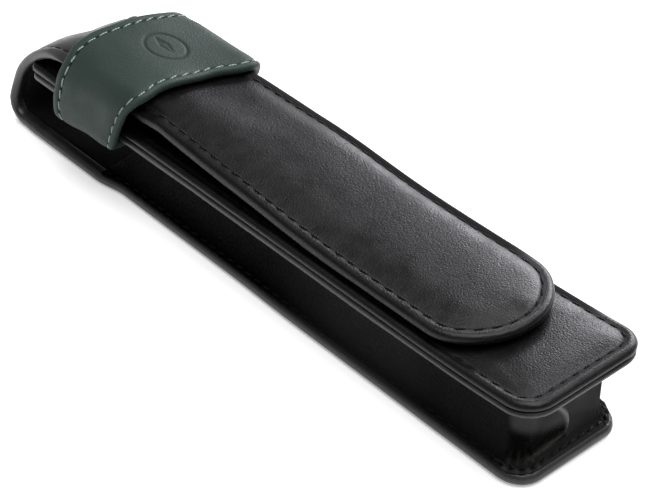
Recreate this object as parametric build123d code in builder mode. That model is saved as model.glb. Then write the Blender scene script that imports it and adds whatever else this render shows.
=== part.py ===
"""Leather case for one fountain pen: a gusseted pocket, a tuck-in flap and a strap loop.

The frame stands on the table: +Z up, origin under the middle of the case.
+X runs from the folded mouth end to the closed end, +Y to the far side. Millimetres.
"""
import os
from math import cos, radians

from build123d import *

os.makedirs("parts", exist_ok=True)

# --- Driving dimensions -------------------------------------------------------------------------
CASE_LENGTH = 162.0          # folded end to the overhanging closed end of the front panel
PANEL_WIDTH = 30.8           # back and front panels
FLAP_WIDTH = 28.8
FRONT_TOP = 18.2             # upper face of the front panel along its flat length
STRAP_WIDTH = 37.2           # across the outside of the strap loop
STRAP_BOTTOM = 11.9

# Leather sandwich
LEATHER = 1.1                # outer leather
BOARD = 0.7                  # stiffener in the back and front panels
LINING = 0.8
PADDING = 0.9                # thin foam in the flap
TURNED_EDGE = 2.6            # width of the leather turned over at an edge
SOFT_GAP = 0.3               # clearance between soft pieces that slide past each other

# Lengthwise stations
FOLD_X = -CASE_LENGTH / 2
FRONT_END_X = CASE_LENGTH / 2
BACK_END_X = FRONT_END_X - 1.0
FRONT_START_X = FOLD_X + 11.5
FLAP_START_X = FOLD_X + 23.0
GUSSET_MOUTH_X = -32.0
FLAP_HINGE_X = -5.0
FLAP_TIP_X = 66.0

# Panels
BACK_CORNER = 5.5
FRONT_CORNER = 6.0
MOUTH_CORNER = 2.0
BACK_THICKNESS = LEATHER + BOARD + LINING
FRONT_THICKNESS = LEATHER + BOARD
FRONT_UNDER = FRONT_TOP - FRONT_THICKNESS
FRONT_BEND_X = 50.0          # from here the front panel lifts towards the closed end
FRONT_BEND_RADIUS = 400.0
FRONT_BEND_ANGLE = 4.45

# Gusset strip
GUSSET = 0.8
GUSSET_LINING = 0.5
GUSSET_SET_IN = 1.8          # wall behind the edge of the back panel
GUSSET_INSIDE = GUSSET_SET_IN + GUSSET
FLANGE_EDGE = 0.3            # lower flange behind the edge of the back panel
FLANGE_TURNED = 1.5          # height of the turned flange under the front panel
FLANGE_UNDER = FRONT_UNDER - FLANGE_TURNED

# Flap
FLAP_THICKNESS = LINING + PADDING + LEATHER
FLAP_CORNER = 9.5
FLAP_CORNER_X = 54.0
FLAP_CORNER_ANGLE = 35.9
FLAP_RUN = (                 # x, and rise of the underside above its resting height
    (FLAP_START_X, 4.45),    # where the fold becomes the flap
    (-46.0, 5.0),            # highest, under the crown of the strap
    (-30.0, 4.5),            # just past the strap
    (FLAP_HINGE_X, 2.4),
    (20.0, 0.4),
    (38.0, 0.0),             # rests on the front panel
    (FLAP_TIP_X, 0.45),      # follows the lift of the front panel
)

# Fold: the leather rises from the back panel over a tight heel and a wide arch
HEEL_RADIUS = 5.0
HEEL_ANGLE = 105.0
ARCH_RADIUS = 26.5
ARCH_ANGLE = 68.0
FOLD_LINING = 1.3
FOLD_TAPER_TOP = 23.5        # height at which the fold has narrowed to the width of the flap
BACK_START_X = FOLD_X + HEEL_RADIUS
HEEL_CENTER = Vector(BACK_START_X, HEEL_RADIUS)
ARCH_CENTER = HEEL_CENTER + Vector(ARCH_RADIUS - HEEL_RADIUS, 0).rotate(Axis.Z, 90 - HEEL_ANGLE)

# Strap loop
STRAP_LEATHER = 1.0
STRAP_LINING = 0.8
STRAP_THICKNESS = STRAP_LEATHER + STRAP_LINING
STRAP_START_X = -57.2        # at the crown; both edges slant outwards or inwards on the way down
STRAP_END_X = -31.0
STRAP_NARROWING = 7.7        # how far the flap edge of the strap runs back on the way down
STRAP_SPREAD = 1.6           # how far its mouth edge leans out on the way down
STRAP_EDGE_TOP = 29.6        # three heights on the curve of the flap edge
STRAP_EDGE_MIDDLE = 19.5
STRAP_EDGE_FOOT = 11.0
STRAP_EDGE_BOW = 0.68        # share of the narrowing reached at the middle height
STRAP_LEAN_TOP = 29.0        # the mouth edge leans between these two heights
STRAP_LEAN_FOOT = 10.0
STRAP_RUN = STRAP_END_X - STRAP_START_X + 2 * STRAP_SPREAD
STRAP_ARCS = (               # radius and turn, from the lower corner up to the crown
    (3.5, 90.0),
    (41.4, 12.0),
    (5.6, 70.0),
    (93.5, 8.0),
)

# Lapped ends of the strap under the front panel
TAB_X = -48.0
TAB_LENGTH = 16.0
TAB_WIDTH = 22.0
TAB_CORNER = 2.0

# Stitching, sunk flush into the leather
THREAD_WIDTH = 0.5
THREAD_DEPTH = 0.3
FLAP_STITCH = 2.3            # seam line behind the edge
FRONT_STITCH = 2.5
BACK_STITCH = 0.8
STRAP_STITCH = 2.2

HIGH = 40.0                  # taller than the whole case
SMALLEST_CORNER = 1.0        # inner layers keep at least this corner radius


# --- Plan outlines ------------------------------------------------------------------------------
def strip_plan(start_x, end_x, inset, corner, start_corner=0.0):
    """A panel seen from above: round corners at the closed end, smaller ones at the mouth."""
    half_width = PANEL_WIDTH / 2 - inset
    end_x = end_x - inset
    with BuildSketch() as plan:
        with Locations(((start_x + end_x) / 2, 0)):
            Rectangle(end_x - start_x, 2 * half_width)
        fillet(plan.vertices().group_by(Axis.X)[-1], max(corner - inset, SMALLEST_CORNER))
        if start_corner > 0:
            fillet(plan.vertices().group_by(Axis.X)[0], start_corner)
    return plan.sketch


def back_plan(inset=0.0, start_x=BACK_START_X):
    return strip_plan(start_x, BACK_END_X, inset, BACK_CORNER)


def front_plan(inset=0.0, start_x=FRONT_START_X):
    corner_at_mouth = MOUTH_CORNER if start_x == FRONT_START_X else 0.0
    return strip_plan(start_x, FRONT_END_X, inset, FRONT_CORNER, corner_at_mouth)


def flap_plan(start_x, inset=0.0):
    """The flap seen from above, with its broad round nose."""
    half_width = FLAP_WIDTH / 2 - inset
    with BuildSketch() as plan:
        with BuildLine():
            edge = Polyline((start_x, 0), (start_x, -half_width), (FLAP_CORNER_X, -half_width))
            corner = JernArc(edge @ 1, (1, 0), FLAP_CORNER - inset, FLAP_CORNER_ANGLE)
            TangentArc(corner @ 1, (FLAP_TIP_X - inset, 0), tangent=corner % 1)
            mirror(about=Plane.XZ)
        make_face()
    return plan.sketch


# --- Side profiles, drawn in the XZ plane -------------------------------------------------------
def front_profile(low, high, start_x=FRONT_START_X):
    """A layer of the front panel: flat, then lifting gently towards the closed end."""
    with BuildSketch(Plane.XZ) as profile:
        with BuildLine():
            lower = Line((start_x, low), (FRONT_BEND_X, low))
            lower_bend = JernArc(lower @ 1, (1, 0), FRONT_BEND_RADIUS, FRONT_BEND_ANGLE)
            upper = Line((start_x, high), (FRONT_BEND_X, high))
            upper_bend = JernArc(upper @ 1, (1, 0), FRONT_BEND_RADIUS, FRONT_BEND_ANGLE)
            Line(lower @ 0, upper @ 0)
            Line(lower_bend @ 1, upper_bend @ 1)
        make_face()
    return profile.sketch


def flap_points(height):
    """The run of the flap in side view, at a height above its underside."""
    return [(x, FRONT_TOP + SOFT_GAP + rise + height) for x, rise in FLAP_RUN]


def flap_profile(low, high):
    """A layer of the flap between two heights above its underside, over its whole run."""
    with BuildSketch(Plane.XZ) as profile:
        with BuildLine():
            lower = Spline(flap_points(low))
            upper = Spline(flap_points(high))
            Line(lower @ 0, upper @ 0)
            Line(lower @ 1, upper @ 1)
        make_face()
    return profile.sketch


def fold_profile(inner, outer):
    """A layer of the fold between two depths behind its outside face: a heel, then an arch."""
    with BuildSketch(Plane.XZ) as profile:
        with BuildLine():
            layer = []
            for depth in (inner, outer):
                heel = CenterArc(HEEL_CENTER, HEEL_RADIUS - depth, -90, -HEEL_ANGLE)
                arch = CenterArc(ARCH_CENTER, ARCH_RADIUS - depth, -90 - HEEL_ANGLE, -ARCH_ANGLE)
                layer.append((heel, arch))
            Line(layer[0][0] @ 0, layer[1][0] @ 0)
            Line(layer[0][1] @ 1, layer[1][1] @ 1)
        make_face()
    return profile.sketch


def fold_width(inset=0.0):
    """The fold seen from the mouth end, as wide as the back panel below and the flap above."""
    back_half = PANEL_WIDTH / 2 - inset
    flap_half = FLAP_WIDTH / 2 - inset
    with BuildSketch(Plane.YZ) as front_view:
        with BuildLine():
            Polyline((0, 0), (back_half, 0), (back_half, HEEL_RADIUS),
                     (flap_half, FOLD_TAPER_TOP), (flap_half, HIGH), (0, HIGH))
            mirror(about=Plane.YZ)
        make_face()
    return front_view.sketch


def strap_profile(from_mouth=0.0, from_flap=0.0):
    """The strap seen from the side, narrower at the wrapped ends, less a margin at each edge."""
    start_x = STRAP_START_X + from_mouth
    end_x = STRAP_END_X - from_flap
    wrapped_start_x = start_x - STRAP_SPREAD
    wrapped_end_x = end_x - STRAP_NARROWING
    with BuildSketch(Plane.XZ) as profile:
        with BuildLine():
            flap_edge = ThreePointArc(
                (end_x, STRAP_EDGE_TOP),
                (end_x - STRAP_EDGE_BOW * STRAP_NARROWING, STRAP_EDGE_MIDDLE),
                (wrapped_end_x, STRAP_EDGE_FOOT),
            )
            Polyline(
                flap_edge @ 1, (wrapped_end_x, 0), (wrapped_start_x, 0),
                (wrapped_start_x, STRAP_LEAN_FOOT), (start_x, STRAP_LEAN_TOP), (start_x, HIGH),
                (end_x, HIGH), flap_edge @ 0,
            )
        make_face()
    return profile.sketch


def strap_section(depth):
    """The closed loop of the strap looking along the case, at a depth behind its outside face."""
    base = STRAP_WIDTH / 2 - STRAP_ARCS[0][0]
    with BuildSketch(Plane.YZ.offset(STRAP_START_X - STRAP_SPREAD)) as section:
        with BuildLine():
            run = Line((0, STRAP_BOTTOM + depth), (base, STRAP_BOTTOM + depth))
            for radius, turn in STRAP_ARCS[:-1]:
                run = JernArc(run @ 1, run % 1, radius - depth, turn)
            crown_drop = (STRAP_ARCS[-1][0] - depth) * (1 - cos(radians(STRAP_ARCS[-1][1])))
            TangentArc(run @ 1, (0, (run @ 1).Y + crown_drop), tangent=run % 1)
            mirror(about=Plane.YZ)
        make_face()
    return section.sketch


# --- Layers shared by several pieces ------------------------------------------------------------
def front_layer(low, high, inset=0.0, start_x=FRONT_START_X):
    """A layer of the front panel between two heights, inside its outline less an inset."""
    with BuildPart() as layer:
        extrude(front_profile(low, high, start_x), amount=PANEL_WIDTH, both=True)
        extrude(front_plan(inset, start_x), amount=HIGH, mode=Mode.INTERSECT)
    return layer.part


def flap_layer(low, high, inset=0.0):
    """A layer of the flap between two heights above its underside, less an inset."""
    with BuildPart() as layer:
        extrude(flap_profile(low, high), amount=PANEL_WIDTH, both=True)
        extrude(flap_plan(FLAP_START_X, inset), amount=HIGH, mode=Mode.INTERSECT)
    return layer.part


def strap_ring(outside, inside):
    """The loop between two depths, cut to the strap's outline in side view."""
    with BuildPart() as ring:
        extrude(strap_section(outside), amount=STRAP_RUN)
        extrude(strap_section(inside), amount=STRAP_RUN, mode=Mode.SUBTRACT)
        extrude(strap_profile(), amount=STRAP_WIDTH, both=True, mode=Mode.INTERSECT)
    return ring.part


# --- Back panel: outer leather turned up round a board and a lining -----------------------------
with BuildPart() as back_board:
    extrude(back_plan(TURNED_EDGE), amount=LEATHER + BOARD)
    extrude(back_plan(TURNED_EDGE), amount=LEATHER, mode=Mode.SUBTRACT)

with BuildPart() as back_lining:
    extrude(back_plan(TURNED_EDGE), amount=BACK_THICKNESS)
    extrude(back_plan(TURNED_EDGE), amount=LEATHER + BOARD, mode=Mode.SUBTRACT)

with BuildPart() as back_outer:
    extrude(back_plan(), amount=BACK_THICKNESS)
    add(back_board.part, mode=Mode.SUBTRACT)
    add(back_lining.part, mode=Mode.SUBTRACT)

# --- Front panel --------------------------------------------------------------------------------
with BuildPart() as front_thread:
    add(front_layer(FRONT_TOP - THREAD_DEPTH, FRONT_TOP, FRONT_STITCH))
    extrude(front_plan(FRONT_STITCH + THREAD_WIDTH), amount=HIGH, mode=Mode.SUBTRACT)

with BuildPart() as front_board:
    add(front_layer(FRONT_UNDER, FRONT_UNDER + BOARD, TURNED_EDGE, FRONT_START_X + TURNED_EDGE))

with BuildPart() as front_outer:
    add(front_layer(FRONT_UNDER, FRONT_TOP))
    add(front_board.part, mode=Mode.SUBTRACT)
    add(front_thread.part, mode=Mode.SUBTRACT)

with BuildPart() as front_lining:
    # Inside the gusset it is one layer; beyond the gusset its turned edge is doubled.
    extrude(front_profile(FRONT_UNDER - LINING, FRONT_UNDER), amount=PANEL_WIDTH, both=True)
    extrude(back_plan(GUSSET_INSIDE, GUSSET_MOUTH_X), amount=HIGH, mode=Mode.INTERSECT)
    with BuildSketch(Plane.XY.offset(FLANGE_UNDER)):
        with Locations(((FRONT_START_X + GUSSET_MOUTH_X) / 2, 0)):
            Rectangle(GUSSET_MOUTH_X - FRONT_START_X, PANEL_WIDTH)
    extrude(amount=FLANGE_TURNED)
    fillet(front_lining.edges().filter_by(Axis.Z).group_by(Axis.X)[0], MOUTH_CORNER)

# --- Gusset: one strip round both sides and the closed end, with a flange along each edge -------
with BuildPart() as back_thread:
    extrude(back_plan(FLANGE_EDGE + BACK_STITCH, GUSSET_MOUTH_X),
            amount=BACK_THICKNESS + GUSSET)
    extrude(back_plan(FLANGE_EDGE + BACK_STITCH + THREAD_WIDTH, GUSSET_MOUTH_X), amount=HIGH,
            mode=Mode.SUBTRACT)
    extrude(back_plan(), amount=BACK_THICKNESS + GUSSET - THREAD_DEPTH, mode=Mode.SUBTRACT)

with BuildPart() as gusset_outer:
    extrude(back_plan(FLANGE_EDGE, GUSSET_MOUTH_X), amount=BACK_THICKNESS + GUSSET)
    extrude(back_plan(GUSSET_SET_IN, GUSSET_MOUTH_X), amount=HIGH)
    extrude(front_profile(FLANGE_UNDER, HIGH), amount=PANEL_WIDTH, both=True, mode=Mode.SUBTRACT)
    add(front_layer(FLANGE_UNDER, FRONT_UNDER, start_x=GUSSET_MOUTH_X))
    extrude(back_plan(GUSSET_INSIDE, GUSSET_MOUTH_X), amount=HIGH, mode=Mode.SUBTRACT)
    extrude(back_plan(), amount=BACK_THICKNESS, mode=Mode.SUBTRACT)
    add(back_thread.part, mode=Mode.SUBTRACT)

with BuildPart() as gusset_lining:
    extrude(back_plan(GUSSET_INSIDE, GUSSET_MOUTH_X), amount=HIGH)
    extrude(back_plan(GUSSET_INSIDE + GUSSET_LINING, GUSSET_MOUTH_X), amount=HIGH,
            mode=Mode.SUBTRACT)
    extrude(back_plan(), amount=BACK_THICKNESS, mode=Mode.SUBTRACT)
    extrude(front_profile(FLANGE_UNDER, HIGH), amount=PANEL_WIDTH, both=True, mode=Mode.SUBTRACT)

# --- Fold: the leather that joins the back panel to the flap ------------------------------------
with BuildPart() as fold_thread:
    extrude(fold_profile(0, THREAD_DEPTH), amount=PANEL_WIDTH, both=True)
    extrude(fold_width(FLAP_STITCH), amount=CASE_LENGTH, both=True, mode=Mode.INTERSECT)
    extrude(fold_width(FLAP_STITCH + THREAD_WIDTH), amount=CASE_LENGTH, both=True,
            mode=Mode.SUBTRACT)

with BuildPart() as fold_outer:
    extrude(fold_profile(0, LEATHER), amount=PANEL_WIDTH, both=True)
    extrude(fold_width(), amount=CASE_LENGTH, both=True, mode=Mode.INTERSECT)
    add(fold_thread.part, mode=Mode.SUBTRACT)

with BuildPart() as fold_lining:
    extrude(fold_profile(LEATHER, LEATHER + FOLD_LINING), amount=PANEL_WIDTH, both=True)
    extrude(fold_width(), amount=CASE_LENGTH, both=True, mode=Mode.INTERSECT)

# --- Flap: foam between leather and lining ------------------------------------------------------
with BuildPart() as flap_thread:
    add(flap_layer(FLAP_THICKNESS - THREAD_DEPTH, FLAP_THICKNESS, FLAP_STITCH))
    extrude(flap_plan(FLAP_START_X, FLAP_STITCH + THREAD_WIDTH), amount=HIGH, mode=Mode.SUBTRACT)

with BuildPart() as flap_lining:
    add(flap_layer(0, LINING, TURNED_EDGE))

with BuildPart() as flap_padding:
    add(flap_layer(LINING, LINING + PADDING, TURNED_EDGE))

with BuildPart() as flap_outer:
    add(flap_layer(0, FLAP_THICKNESS))
    add(flap_lining.part, mode=Mode.SUBTRACT)
    add(flap_padding.part, mode=Mode.SUBTRACT)
    add(flap_thread.part, mode=Mode.SUBTRACT)
    # The strap presses the edges of the flap down where it slides through.
    extrude(strap_section(STRAP_THICKNESS + SOFT_GAP), amount=CASE_LENGTH, mode=Mode.INTERSECT)

# --- Strap loop ---------------------------------------------------------------------------------
with BuildPart() as strap_thread_mouth:
    add(strap_ring(0, THREAD_DEPTH))
    extrude(strap_profile(STRAP_STITCH, 0), amount=STRAP_WIDTH, both=True, mode=Mode.INTERSECT)
    extrude(strap_profile(STRAP_STITCH + THREAD_WIDTH, 0), amount=STRAP_WIDTH, both=True,
            mode=Mode.SUBTRACT)

with BuildPart() as strap_thread_flap:
    add(strap_ring(0, THREAD_DEPTH))
    extrude(strap_profile(0, STRAP_STITCH), amount=STRAP_WIDTH, both=True, mode=Mode.INTERSECT)
    extrude(strap_profile(0, STRAP_STITCH + THREAD_WIDTH), amount=STRAP_WIDTH, both=True,
            mode=Mode.SUBTRACT)

with BuildPart() as strap_outer:
    add(strap_ring(0, STRAP_LEATHER))
    add(strap_thread_mouth.part, mode=Mode.SUBTRACT)
    add(strap_thread_flap.part, mode=Mode.SUBTRACT)

with BuildPart() as strap_lining:
    add(strap_ring(STRAP_LEATHER, STRAP_THICKNESS))

with BuildPart() as strap_tab:
    # The lapped ends of the strap, sewn up against the front panel.
    with BuildSketch(Plane.XY.offset(STRAP_BOTTOM + STRAP_THICKNESS)):
        with Locations((TAB_X, 0)):
            RectangleRounded(TAB_LENGTH, TAB_WIDTH, TAB_CORNER)
    extrude(amount=FLANGE_UNDER - STRAP_BOTTOM - STRAP_THICKNESS)

# --- Write every piece --------------------------------------------------------------------------
pieces = {
    "back_outer": back_outer.part,
    "back_board": back_board.part,
    "back_lining": back_lining.part,
    "back_thread": back_thread.part,
    "front_outer": front_outer.part,
    "front_board": front_board.part,
    "front_lining": front_lining.part,
    "front_thread": front_thread.part,
    "gusset_outer": gusset_outer.part,
    "gusset_lining": gusset_lining.part,
    "fold_outer": fold_outer.part,
    "fold_lining": fold_lining.part,
    "fold_thread": fold_thread.part,
    "strap_outer": strap_outer.part,
    "strap_lining": strap_lining.part,
    "strap_tab": strap_tab.part,
    "strap_thread_mouth": strap_thread_mouth.part,
    "strap_thread_flap": strap_thread_flap.part,
}

flap_layers = {
    "outer": flap_outer.part,
    "padding": flap_padding.part,
    "lining": flap_lining.part,
    "thread": flap_thread.part,
}
for layer, whole in flap_layers.items():
    for half, side in (("neck", Keep.BOTTOM), ("end", Keep.TOP)):
        with BuildPart() as cut:
            add(whole)
            split(bisect_by=Plane.YZ.offset(FLAP_HINGE_X), keep=side)
        pieces[f"flap_{half}_{layer}"] = cut.part

for name, piece in pieces.items():
    piece.label = name
    export_step(piece, f"parts/{name}.step")
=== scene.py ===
import math

import bmesh
import bpy
import numpy as np
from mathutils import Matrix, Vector


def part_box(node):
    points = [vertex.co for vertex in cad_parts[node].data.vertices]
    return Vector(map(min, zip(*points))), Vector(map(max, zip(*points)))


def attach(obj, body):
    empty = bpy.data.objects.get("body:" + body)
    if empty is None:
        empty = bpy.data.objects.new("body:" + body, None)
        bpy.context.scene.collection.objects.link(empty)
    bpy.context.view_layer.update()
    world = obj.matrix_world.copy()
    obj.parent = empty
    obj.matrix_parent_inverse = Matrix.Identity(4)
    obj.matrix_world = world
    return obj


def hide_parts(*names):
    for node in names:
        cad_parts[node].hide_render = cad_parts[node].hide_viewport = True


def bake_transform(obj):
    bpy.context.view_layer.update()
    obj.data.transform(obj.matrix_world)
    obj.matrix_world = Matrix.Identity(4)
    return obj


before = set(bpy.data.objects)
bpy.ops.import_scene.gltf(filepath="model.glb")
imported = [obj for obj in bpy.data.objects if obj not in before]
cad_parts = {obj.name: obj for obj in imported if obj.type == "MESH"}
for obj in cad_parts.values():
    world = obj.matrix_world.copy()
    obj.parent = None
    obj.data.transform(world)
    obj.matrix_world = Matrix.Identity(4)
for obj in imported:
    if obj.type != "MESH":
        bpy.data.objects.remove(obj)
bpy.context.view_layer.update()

# Lengths below are millimetres; meshes are scaled to metres when they are made.
# X runs from the fold (low) to the closed end (high), Y from the near side to the far one, Z up.
MM = 0.001


def box(node):
    low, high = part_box(node)
    return np.array(low) / MM, np.array(high) / MM


BACK_HIGH = box("back_outer")[1]
FRONT_LOW, FRONT_HIGH = box("front_outer")
FLAP_HIGH = box("flap_end_outer")[1]
NECK_LOW = box("flap_neck_outer")[0]
FOLD_LOW = box("fold_outer")[0]
STRAP_LOW, STRAP_HIGH = box("strap_outer")
BOARD_LOW, BOARD_HIGH = box("back_board")
TAB_LOW, TAB_HIGH = box("strap_tab")

# --- Stations and sizes, from the frame ---
PANEL_HALF = BACK_HIGH[1]
FLAP_HALF = FLAP_HIGH[1]
BACK_END = BACK_HIGH[0]
BACK_THICK = BACK_HIGH[2]
FRONT_START, FRONT_END = FRONT_LOW[0], FRONT_HIGH[0]
FRONT_UNDER = FRONT_LOW[2]
FRONT_TOP = FRONT_UNDER + 1.8
FLAP_FLAT = FRONT_TOP + 0.3  # the flap rests this high on the front panel
FLAP_THICK = 2.8
PIECE_CUT = -35.0            # the fold skin and the flap skin meet here, hidden by the strap
HEEL_RADIUS, HEEL_ANGLE = 5.0, 105.0
ARCH_RADIUS, ARCH_ANGLE = 26.5, 68.0
BEND_X, BEND_RADIUS = 50.0, 400.0
CORNER_RADIUS = 5.5          # bottom corners of the closed end
END_WALL = BACK_END - 9.0    # the gusset's long sides turn into its end wall from here
END_SEAM = BACK_END - 7.0    # the long seams turn into the end seam here
LEAST_CORNER = 0.15          # an inset corner never gets sharper than this
QUARTER = math.pi / 2


# --- Small maths ---
def smooth(t):
    t = np.clip(t, 0.0, 1.0)
    return t * t * (3.0 - 2.0 * t)


def rise(x, start, width):
    """Smoothly from 0 at start to 1 at start + width."""
    return smooth((x - start) / width)


def fall(x, start, width):
    """Smoothly from 1 at start to 0 at start + width."""
    return 1.0 - rise(x, start, width)


def between(low, high, t):
    """From low at t = 0 to high at t = 1."""
    return low + t * (high - low)


def bump(x, centre, width):
    return np.exp(-(((x - centre) / width) ** 2))


def natural_spline(xs, ys):
    """A natural cubic spline through the points, as a function."""
    xs, ys = np.array(xs, float), np.array(ys, float)
    n, h = len(xs), np.diff(xs)
    a, b = np.eye(n), np.zeros(n)
    for i in range(1, n - 1):
        a[i, i - 1 : i + 2] = h[i - 1], 2 * (h[i - 1] + h[i]), h[i]
        b[i] = 6 * ((ys[i + 1] - ys[i]) / h[i] - (ys[i] - ys[i - 1]) / h[i - 1])
    m = np.linalg.solve(a, b)

    def value(x):
        x = np.asarray(x, float)
        i = np.clip(np.searchsorted(xs, x) - 1, 0, n - 2)
        t, w = x - xs[i], h[i]
        slope = (ys[i + 1] - ys[i]) / w - w * (2 * m[i] + m[i + 1]) / 6
        return ys[i] + t * (slope + t * (m[i] / 2 + t * (m[i + 1] - m[i]) / (6 * w)))

    return value


def waves(x, y, z, size, seed):
    """Smooth irregular waves between about -1 and 1, with features of roughly that size."""
    rng = np.random.default_rng(seed)
    total = np.zeros(np.broadcast(x, y, z).shape)
    for _ in range(7):
        d = rng.normal(size=3)
        d = d / np.linalg.norm(d) * rng.uniform(0.7, 1.6) * 2 * math.pi / size
        total = total + np.sin(d[0] * x + d[1] * y + d[2] * z + rng.uniform(0, 6.28))
    return total / 3.0


def distances(line):
    """How far along a line each of its points is."""
    steps = np.linalg.norm(np.diff(line, axis=0), axis=1)
    return np.concatenate([[0], np.cumsum(steps)])


def along_line(at, along, values):
    """Rows of values read off at distances along a line."""
    return np.stack([np.interp(at, along, column) for column in values.T], -1)


def softened(values, reach, spread):
    """Values eased into their neighbours, up to reach places away."""
    kernel = np.exp(-((np.arange(-reach, reach + 1) / spread) ** 2))
    return np.convolve(np.pad(values, reach, mode="edge"), kernel / kernel.sum(), "valid")


def unit(rows):
    return rows / np.linalg.norm(rows, axis=1)[:, None]


# --- Mesh making ---
def paint(mesh, name, values):
    """A number for each point of a mesh, for its material to read."""
    mesh.attributes.new(name, "FLOAT", "POINT").data.foreach_set("value", np.asarray(values, np.float32))


def points_of(obj):
    """The X, Y and Z of a mesh object's points, in millimetres."""
    return np.array([v.co / MM for v in obj.data.vertices]).T


def add_object(name, data):
    obj = bpy.data.objects.new(name, data)
    bpy.context.scene.collection.objects.link(obj)
    return obj


def make(name, points, faces, material, scuff_and_highlight=None):
    """A smooth mesh object from points in millimetres, with how much each point is lightened for wear and
    painted highlight.
    """
    mesh = bpy.data.meshes.new(name)
    mesh.from_pydata((np.asarray(points) * MM).tolist(), [], faces)
    if scuff_and_highlight is not None:
        paint(mesh, "scuff_and_highlight", scuff_and_highlight)
    bm = bmesh.new()
    bm.from_mesh(mesh)
    bmesh.ops.recalc_face_normals(bm, faces=bm.faces)
    bm.to_mesh(mesh)
    bm.free()
    mesh.shade_smooth()
    mesh.materials.append(material)
    return add_object(name, mesh)


def ring_of(near, closed):
    """The whole ring from its near half: mirrored across the centre line."""
    far = near[-2:0:-1] if closed else near[-2::-1]
    return np.concatenate([near, far * np.array([1.0, -1.0])])


def sweep(rings, closed, wrap):
    """Quads between neighbouring rings of point numbers."""
    faces, count = [], len(rings[0])
    following = rings[1:] + ([rings[0]] if wrap else [])
    for a, b in zip(rings, following):
        for i in range(count if closed else count - 1):
            j = (i + 1) % count
            faces.append((a[i], a[j], b[j], b[i]))
    return faces


def lay_rings(outline, profile, closed, filled):
    """A ring for each (inset, height) of a profile; the first and last may be drawn to be filled."""
    plan, height, inset, rings = [], [], [], []
    for step, (d, n) in enumerate(profile):
        ring = ring_of(outline(d, filled and step in (0, len(profile) - 1)), closed)
        rings.append((np.arange(len(ring)) + len(plan)).tolist())
        plan.extend(ring)
        height.extend([n] * len(ring))
        inset.extend([d] * len(ring))
    return plan, height, inset, rings


def slab(name, outline, profile, place, material, closed, across=16, painted_shade=None):
    """A soft panel. profile lists (inset, height) from the middle of one face, round the edge, to the
    middle of the other; outline(inset, inner) gives the near half; place() puts points in space."""
    plan, height, inset, rings = lay_rings(outline, profile, closed, True)
    faces = sweep(rings, closed, False)
    half = len(outline(1.0, False)) - 1
    caps = []
    for step in (0, len(profile) - 1):
        ring, rows = rings[step], []
        for k in range(1 if closed else 0, half):
            near, far = ring[k], ring[-k if closed else -1 - k]
            rows.append([near, *range(len(plan), len(plan) + across - 1), far])
            plan.extend(between(plan[near], plan[far], t) for t in np.arange(1, across) / across)
            inset.extend([profile[step][0]] * (across - 1))
            height.extend([profile[step][1]] * (across - 1))
        for p, q in zip(rows, rows[1:]):
            faces += [(p[j], p[j + 1], q[j + 1], q[j]) for j in range(across)]
        faces += [(rows[-1][j], rows[-1][j + 1], ring[half]) for j in range(across)]
        if closed:
            faces += [(rows[0][j + 1], rows[0][j], ring[0]) for j in range(across)]
        caps.append(rows[0])
    if not closed:
        near, far = [r[0] for r in rings], [r[-1] for r in rings]
        faces.append(tuple(caps[0][1:-1] + far + caps[1][-2:0:-1] + near[::-1]))
    where = (*np.array(plan).T, np.array(height), np.array(inset))
    # Every leather slab is lightened along its rounded edges: wear together with painted highlight.
    obj = make(name, place(*where), faces, material, bump(where[-1], 0.5, 0.7))
    if painted_shade is not None:
        paint(obj.data, "painted_shade", painted_shade(*where))
    return obj


def turned(x, y, radius_x, radius_y, angles):
    """Points round an arc or oval about (x, y); angle 0 points along X."""
    return np.stack([x + radius_x * np.cos(angles), y + radius_y * np.sin(angles)], 1)


def end_points(tip, way, half, corner, inner, arc, flat, oval):
    """The near half of a strip's end, from its straight side to the centre line, and how long it is."""
    r = oval if inner else max(corner, LEAST_CORNER)
    if inner:
        return turned(tip - way * r, 0, way * r, half, np.linspace(-QUARTER, 0, arc + flat + 1)), r
    turn = turned(tip - way * r, r - half, way * r, r, np.linspace(-QUARTER, 0, arc + 1)[:-1])
    edge = np.stack([np.full(flat + 1, tip), np.linspace(r - half, 0, flat + 1)], 1)
    return np.concatenate([turn, edge]), r


def strip_outline(start, end, half, corner, start_corner=None, side=110, arc=9, flat=9, oval=9.0,
                  stretch=1.0):
    """The near half of a strip with round corners; inner rings have oval ends so they fill evenly."""
    half_at = half if callable(half) else (lambda s: np.full(np.shape(s), float(half)))

    def near(d, inner):
        parts, first = [], start
        if start_corner is not None:
            first = start + d
            shape = half_at(start) - d, start_corner - d, inner, arc, flat, oval
            points, reach = end_points(first, -1, *shape)
            parts.append(points[:0:-1])
            first += reach
        last = end - d * stretch
        points, reach = end_points(last, 1, half_at(end) - d, corner - d, inner, arc, flat, oval)
        s = np.linspace(first, last - reach, side + 1)[:-1]
        parts += [np.stack([s, d - half_at(s)], 1), points]
        return np.concatenate(parts)

    return near


CORNER_X, CORNER_R, CORNER_TURN = 54.0, 9.5, math.radians(35.9)


def nose_outline(start, side=95, arc=8, nose=16, end_inset=0.0):
    """The near half of the flap with its broad round nose, as concentric arcs."""
    centre_y = -(FLAP_HALF - CORNER_R)
    turn = CORNER_TURN - QUARTER
    reach = -centre_y / math.cos(CORNER_TURN)
    nose_x = CORNER_X - reach * math.sin(CORNER_TURN)

    def near(d, inner):
        e = d + end_inset
        corner_r, nose_r = CORNER_R - e, CORNER_R + reach - e
        straight = np.linspace(start, CORNER_X, side + 1)[:-1]
        return np.concatenate([
            np.stack([straight, np.full(side, e - FLAP_HALF)], 1),
            turned(CORNER_X, centre_y, corner_r, corner_r, np.linspace(-QUARTER, turn, arc + 1)[:-1]),
            turned(nose_x, 0, nose_r, nose_r, np.linspace(turn, 0, nose + 1)),
        ])

    return near


STITCH_SIDES = 8


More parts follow.
